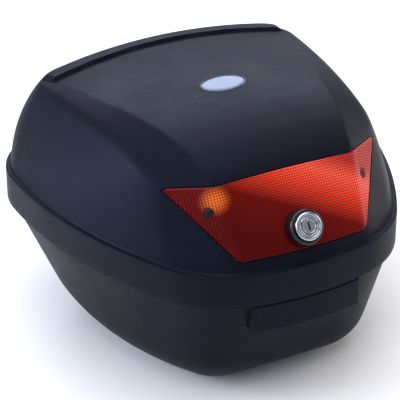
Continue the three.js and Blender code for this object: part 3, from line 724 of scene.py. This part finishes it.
collar = turned_piece("lock_collar_ring", [
    (10.6, 175.9), (17.7, 175.9), (18, 176.2), (18, 184), (17.95, 188), (17.6, 190.2), (17.1, 191.3),
    (16.4, 191.9), (15.2, 192), (14.4, 191.7), (10.6, 191.7), (10.6, 175.9),
], ON_LOCK, gloss_black)
riding(collar, "lid", "black_gloss", "lock_collar")
cylinder = turned_piece("lock_cylinder", [
    (6.5, 151), (9.7, 151), (10, 151.3), (10, 192.2), (13.7, 192.2), (14, 192.5), (14, 194.1), (13.85, 194.7),
    (13.4, 195.3), (12.6, 195.65), (11.6, 195.7), (11.2, 195.5), (10.9, 195.1), (9.4, 195.1), (9.1, 195.4),
    (8.8, 195.3), (8.5, 194.9), (8.5, 192.6), (6.5, 192.6), (6.5, 151),
], ON_LOCK, chrome, 128)
riding(cylinder, "lid", "chrome", "lock_barrel")
plug = turned_piece("key_plug_face", [
    (3, 141), (4, 141.3), (4, 148.4), (6.1, 148.4), (6.1, 192.9), (8.1, 192.9), (8.1, 194.8), (7.9, 195.25),
    (7.4, 195.4), (6.6, 195.4), (6.3, 195.15), (3, 195.15),
], ON_LOCK, chrome, 128)


def boxed_piece(name, low, high, material, rounding=0.6, place=Matrix(), segments=3):
    """Block with rounded edges between two corners, moved by a matrix in millimetres."""
    shape = bmesh.new()
    bmesh.ops.create_cube(shape, size=1)
    for v in shape.verts:
        v.co = place @ Vector([a + (b - a) * (t + 0.5) for a, b, t in zip(low, high, v.co)])
    if rounding:
        bmesh.ops.bevel(
            shape, geom=shape.edges[:], offset=rounding, segments=segments, profile=0.5, affect="EDGES",
        )
    points = np.array([v.co[:] for v in shape.verts])
    faces = [[v.index for v in f.verts] for f in shape.faces]
    shape.free()
    return new_piece(name, points, faces, material)


carve(plug, boxed_piece("keyway", (-0.8, -4.2, 178), (0.8, 4.2, 199), chrome, 0, ON_LOCK))
riding(plug, "key", "chrome", "key_plug")

zinc, zinc_shader = finish("zinc_plated_steel", base_color=linear("#b4b8bb"), roughness=0.35, metallic=1.0)
zinc_place = add(zinc, "ShaderNodeTexCoord")
zinc_spangle = add(zinc, "ShaderNodeTexVoronoi", {
    "Vector": zinc_place.outputs["Object"], "Scale": per_metre(2.2),
})
zinc_tone = add(zinc, "ShaderNodeMapRange", {
    "Value": zinc_spangle.outputs["Distance"], "To Min": 0.28, "To Max": 0.46,
})
zinc_bump = add(zinc, "ShaderNodeBump", {
    "Height": zinc_spangle.outputs["Distance"], "Strength": 0.25, "Distance": 0.00005,
})
zinc.node_tree.links.new(zinc_tone.outputs["Result"], zinc_shader.inputs["Roughness"])
zinc.node_tree.links.new(zinc_bump.outputs["Normal"], zinc_shader.inputs["Normal"])
for node in ("lock_nut", "latch_cam", "cam_screw"):
    refinished(node, zinc)


# ---- Reflector screws ----
# Small cross-slot screws in black oxide, sunk in the reflector so that their heads lie flush.
oxide, oxide_shader = finish("black_oxide_steel", base_color=linear("#15151a"), roughness=0.42, metallic=0.6)
oxide_place = add(oxide, "ShaderNodeTexCoord")
oxide_film = add(oxide, "ShaderNodeTexNoise", {
    "Vector": oxide_place.outputs["Object"], "Scale": per_metre(1.5), "Detail": 5.0,
})
oxide_rough = add(oxide, "ShaderNodeMapRange", {
    "Value": oxide_film.outputs["Fac"], "To Min": 0.32, "To Max": 0.55,
})
oxide.node_tree.links.new(oxide_rough.outputs["Result"], oxide_shader.inputs["Roughness"])
for sign, name in ((-1, "left"), (1, "right")):
    screw = turned_piece(f"wing_screw_{name}", [
        (1, -16), (2, -15.4), (2, -1.7), (4.7, -1.7), (4.7, -1.1), (4.4, -0.7), (3.4, -0.4), (2, -0.3),
        (0.6, -0.3),
    ], on_wing(sign), oxide, 48)
    for size in ((3, 0.5), (0.5, 3)):
        low, high = (-size[0], -size[1], -1.1), (size[0], size[1], 1)
        carve(screw, boxed_piece("slot", low, high, oxide, 0, on_wing(sign)))
    riding(screw, "lid", "black_metal", f"reflector_screw_{name}")


# ---- Inside of the lid ----
# Bosses that are moulded with the lid: a round seat for the lock and two screw posts.
seat = turned_piece("lock_seat", [
    (10.4, 168), (22.4, 168), (23, 168.6), (23, 172), (10.4, 172), (10.4, 168),
], ON_LOCK, polypropylene)
riding(seat, "lid", "case")
for sign, name in ((-1, "left"), (1, "right")):
    post = turned_piece(f"screw_post_{name}", [
        (2.3, -19), (5.4, -19), (6, -18.4), (6.3, -7), (2.3, -7), (2.3, -19),
    ], on_wing(sign), polypropylene, 48)
    riding(post, "lid", "case")


# ---- Tub ----
# The lower half, moulded like the lid: drafted walls, a large round into the floor, and a rim
# with a groove for the seal. A panel stands proud of its front under the lock.
FLOOR = (-144.7, ((700, 5), (44.3, 50), (271.3, 38.3), (50.6, 77)))
FLOOR_Z = -125.6
FILLET = 42
HOLLOW = 3  # how far the front is drawn in between its lower corners
floor_x, floor_y = outline_at(FLOOR, heading)
floor_x = floor_x * side


def tub_ring(z, shrink, floor_z, fillet):
    """Ring of the tub's wall at height z, drafted and rounded into the floor."""
    depth = max(0, z / FLOOR_Z)
    over = max(0, floor_z + fillet - z) / fillet
    back = fillet * (1 - math.sqrt(max(0, 1 - over * over))) + shrink
    x = (rim_x - LEDGE * out_x) * (1 - depth) + floor_x * depth - back * out_x
    y = (rim_y - LEDGE * out_y) * (1 - depth) + floor_y * depth - back * out_y
    front_middle = np.where(heading < 75, 1 - smooth(np.abs(x), 20, 60), 0)
    return np.stack([x, y + HOLLOW * front_middle * depth ** 2, 0 * x + z], -1)


def tub_rows(shrink, floor_z, fillet, top_z, rings=40, turns=16, levels=22):
    """Rows of points from the floor's centre out, round its corner and up the wall."""
    foot = tub_ring(floor_z, shrink, floor_z, fillet)
    centre = foot.mean(0)
    floor_part = [centre + (foot - centre) * k / rings for k in range(1, rings + 1)]
    round_part = [
        tub_ring(floor_z + fillet * (1 - math.cos(k / turns * math.pi / 2)), shrink, floor_z, fillet)
        for k in range(1, turns + 1)
    ]
    wall_part = [
        tub_ring(z, shrink, floor_z, fillet) for z in np.linspace(floor_z + fillet, top_z, levels)[1:]
    ]
    return np.array(floor_part + round_part + wall_part)


RIM_PROFILE = [  # inset from the lid's outline and height, over the rim from outside to inside
    (5, 23.2), (5.15, 23.7), (5.5, 24), (6.1, 24), (6.4, 23.7), (6.4, 21), (9.4, 21), (9.4, 23.7), (9.7, 24),
    (10.5, 24), (10.85, 23.8), (11, 23.3), (11, 15.6), (10.8, 15.1), (8.4, 12.6), (8, 12),
]
tub_shell = np.concatenate([
    tub_rows(0, FLOOR_Z, FILLET, 22.6),
    np.stack([rim_ring(inset, z) for inset, z in RIM_PROFILE]),
    tub_rows(WALL, FLOOR_Z + WALL, FILLET - WALL, 11.4)[::-1],
])
tub_skin = new_piece("tub_skin", poled(tub_shell), ring_faces(len(tub_shell), COLUMNS), polypropylene)
RECESS = (50, -70, 6, -113)  # half width, two ends and ceiling of the recess under the floor
half, front_y, back_y, ceiling = RECESS
hump = boxed_piece(
    "hump", (-half - 4, front_y - 4, FLOOR_Z + 0.8), (half + 4, back_y + 4, ceiling + WALL), polypropylene, 2,
)
carve(tub_skin, hump, "UNION")
recess = boxed_piece("recess", (-half, front_y, FLOOR_Z - 3), (half, back_y, ceiling), polypropylene, 1)
carve(tub_skin, recess)
riding(tub_skin, "tub", "case", "base_tub")

PROUD = 0.5  # of the lid's skirt
front = np.linspace(0, 60, 241)
front_x, front_line = outline_at(RIM, front)
front_x = front_x + PROUD * np.sin(np.radians(front))
front_line = front_line - PROUD * np.cos(np.radians(front))
PANEL_X, PANEL_LOW, PANEL_HIGH = 59, -30.3, -0.6
across = np.concatenate([-PANEL_X + EDGE_STEPS, np.linspace(-57, 57, 60), (PANEL_X - EDGE_STEPS)[::-1]])
up = np.concatenate([PANEL_LOW + EDGE_STEPS, np.linspace(-28, -3, 14), (PANEL_HIGH - EDGE_STEPS)[::-1]])
drop = np.maximum(
    np.interp(PANEL_X - np.abs(across), EDGE_STEPS, EDGE_DROPS),
    np.interp(np.minimum(up - PANEL_LOW, PANEL_HIGH - up), EDGE_STEPS, EDGE_DROPS)[:, None],
)
x = across + 0 * up[:, None]
z = up[:, None] + 0 * x
y = np.interp(np.abs(x), front_x, front_line)
panel = slab_piece(
    "front_panel", np.stack([x, y + drop, z], -1), np.stack([x, y + 8.4 - 0.3 * z, z], -1), polypropylene,
)
riding(panel, "tub", "case")

striker_pad = boxed_piece("striker_pad", (-24, -182.8, -14), (24, -180, 12), polypropylene, 0.8)
riding(striker_pad, "tub", "case")


# ---- Hinges ----
# Lugs that are moulded on the back of both halves, and two plain steel pins through them.
HINGE_Y, HINGE_Z, HINGE_X = 200.5, -4, 62


def lug_piece(name, x0, x1, turns, wall_y, wall_low, wall_high):
    """Rounded lug about the hinge axis, run into a patch of wall."""
    angles = np.radians(np.linspace(*turns, 25))
    outline = [(HINGE_Y + 6 * math.cos(t), HINGE_Z + 6 * math.sin(t)) for t in angles]
    outline += [(wall_y, wall_high), (wall_y, wall_low)]
    shape = bmesh.new()
    ends = [[shape.verts.new((x, y, z)) for y, z in outline] for x in (x0, x1)]
    shape.faces.new(ends[0][::-1])
    shape.faces.new(ends[1])
    for k in range(len(outline)):
        after = (k + 1) % len(outline)
        shape.faces.new([ends[0][k], ends[0][after], ends[1][after], ends[1][k]])
    bmesh.ops.recalc_face_normals(shape, faces=shape.faces[:])
    end_edges = [e for e in shape.edges if abs(e.verts[0].co.x - e.verts[1].co.x) < 0.01]
    bmesh.ops.bevel(shape, geom=end_edges, offset=0.8, segments=3, profile=0.5, affect="EDGES")
    shape.verts.index_update()
    points = np.array([v.co[:] for v in shape.verts])
    faces = [[v.index for v in f.verts] for f in shape.faces]
    shape.free()
    return new_piece(name, points, faces, polypropylene)


steel, steel_shader = finish("drawn_steel", base_color=linear("#9a9da1"), roughness=0.38, metallic=1.0)
steel_place = add(steel, "ShaderNodeTexCoord")
steel_lines = add(steel, "ShaderNodeMapping", {
    "Vector": steel_place.outputs["Object"], "Scale": (per_metre(12), per_metre(0.8), per_metre(0.8)),
})
steel_draw = add(steel, "ShaderNodeTexNoise", {
    "Vector": steel_lines.outputs["Vector"], "Scale": 1.0, "Detail": 4.0,
})
steel_rough = add(steel, "ShaderNodeMapRange", {
    "Value": steel_draw.outputs["Fac"], "To Min": 0.28, "To Max": 0.5,
})
steel.node_tree.links.new(steel_rough.outputs["Result"], steel_shader.inputs["Roughness"])

for sign, name in ((-1, "left"), (1, "right")):
    middle = sign * HINGE_X
    lid_lug = lug_piece(f"lid_lug_{name}", middle - 13, middle + 13, (-150, 60), 182, 3, 20)
    riding(lid_lug, "lid", "case")
    for k, x in enumerate((middle - 18, middle + 18)):
        tub_lug = lug_piece(f"tub_lug_{name}_{k + 1}", x - 4.6, x + 4.6, (-90, 110), 166, -36, -12)
        riding(tub_lug, "tub", "case")
    refinished(f"hinge_pin_{name}", steel)


# ---- Seal ----
# A black rubber strip pressed into the groove of the tub's rim, with a rounded top.
rubber, rubber_shader = finish("black_rubber", base_color=linear("#131314"), roughness=0.8, ior=1.52)
rubber_place = add(rubber, "ShaderNodeTexCoord")
rubber_bloom = add(rubber, "ShaderNodeTexNoise", {
    "Vector": rubber_place.outputs["Object"], "Scale": per_metre(2), "Detail": 5.0,
})
rubber_rough = add(rubber, "ShaderNodeMapRange", {
    "Value": rubber_bloom.outputs["Fac"], "To Min": 0.65, "To Max": 0.92,
})
rubber_bump = add(rubber, "ShaderNodeBump", {
    "Height": rubber_bloom.outputs["Fac"], "Strength": 0.4, "Distance": 0.0002,
})
rubber.node_tree.links.new(rubber_rough.outputs["Result"], rubber_shader.inputs["Roughness"])
rubber.node_tree.links.new(rubber_bump.outputs["Normal"], rubber_shader.inputs["Normal"])

SEAL_PROFILE = [
    (6.7, 21.3), (6.7, 25), (6.85, 25.5), (7.2, 25.85), (7.9, 26), (8.6, 25.85), (8.95, 25.5), (9.1, 25),
    (9.1, 21.3),
]
seal_rows = np.stack([rim_ring(inset, z) for inset, z in SEAL_PROFILE])
seal = new_piece(
    "seal_strip", seal_rows.reshape(-1, 3), ring_faces(len(seal_rows), COLUMNS, closed=True), rubber,
)
riding(seal, "tub", "rubber", "rim_seal")


# ---- Striker ----
# A pressed steel plate, zinc plated, screwed to the pad on the tub. Its lip holds the cam.
refinished("striker", zinc, 0.5)
for name in ("left", "right"):
    refinished(f"striker_screw_{name}", zinc)


# ---- Floor mat ----
# Needled felt, die-cut to the floor with a window round the hump. Its fibres lie at random.
felt, felt_shader = finish(
    "needled_felt", base_color=linear("#26282b"), roughness=0.95, sheen_weight=0.1, sheen_roughness=0.6,
)
felt_place = add(felt, "ShaderNodeTexCoord")
felt_fibre = add(felt, "ShaderNodeTexNoise", {
    "Vector": felt_place.outputs["Object"], "Scale": per_metre(1.6), "Detail": 8.0, "Roughness": 0.75,
    "Distortion": 1.4,
})
felt_tone = add(felt, "ShaderNodeValToRGB", {"Fac": felt_fibre.outputs["Fac"]})
felt_tone.color_ramp.elements[0].color = linear("#17181a")
felt_tone.color_ramp.elements[1].color = linear("#3a3c40")
felt_bump = add(felt, "ShaderNodeBump", {
    "Height": felt_fibre.outputs["Fac"], "Strength": 0.8, "Distance": 0.0008,
})
felt.node_tree.links.new(felt_tone.outputs["Color"], felt_shader.inputs["Base Color"])
felt.node_tree.links.new(felt_bump.outputs["Normal"], felt_shader.inputs["Normal"])

mat_edge = tub_ring(FLOOR_Z, 1.6, FLOOR_Z, FILLET)
mat_centre = mat_edge.mean(0)
mat_rows = []
for share, z in (
    (0.2, -122.3), (0.6, -122.3), (0.996, -122.3), (1, -121.9), (1, -120.5), (0.996, -120.05),
    (0.985, -119.9), (0.9, -119.9), (0.75, -119.9), (0.6, -119.9), (0.4, -119.9), (0.2, -119.9),
):
    row = mat_centre + (mat_edge - mat_centre) * share
    row[:, 2] = z
    mat_rows.append(row)
mat = new_piece("felt_mat", poled(np.array(mat_rows)), ring_faces(len(mat_rows), COLUMNS), felt)
window = boxed_piece(
    "window", (-half - 5.5, front_y - 5.5, -130), (half + 5.5, back_y + 5.5, -100), felt, 0,
)
carve(mat, window)
riding(mat, "tub", "foam", "floor_mat")


# ---- Release latch and feet under the floor ----
# A smooth black housing and cover hold a grey slide that frees the case from its carrier.
# Four rubber feet keep the floor off the ground.
for node in ("release_housing", "release_cover"):
    refinished(node, gloss_black, 0.5)
refinished("release_slide", backing, 0.5)
for k in range(1, 5):
    refinished(f"cover_screw_{k}", zinc)
    low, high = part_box(f"foot_pad_{k}")
    x, y = (low.x + high.x) * 500, (low.y + high.y) * 500 + CENTRE_Y
    foot = turned_piece(f"rubber_foot_{k}", [
        (3, -128), (6, -128), (6.3, -127.4), (6.9, -127.4), (7.2, -128), (9.8, -128), (10.6, -127.7),
        (11, -127), (11, -126.4), (10.7, -125.95), (10, -125.9), (3, -125.9),
    ], Matrix.Translation((x, y, 0)), rubber, 64)
    riding(foot, "tub", "rubber", f"foot_pad_{k}")
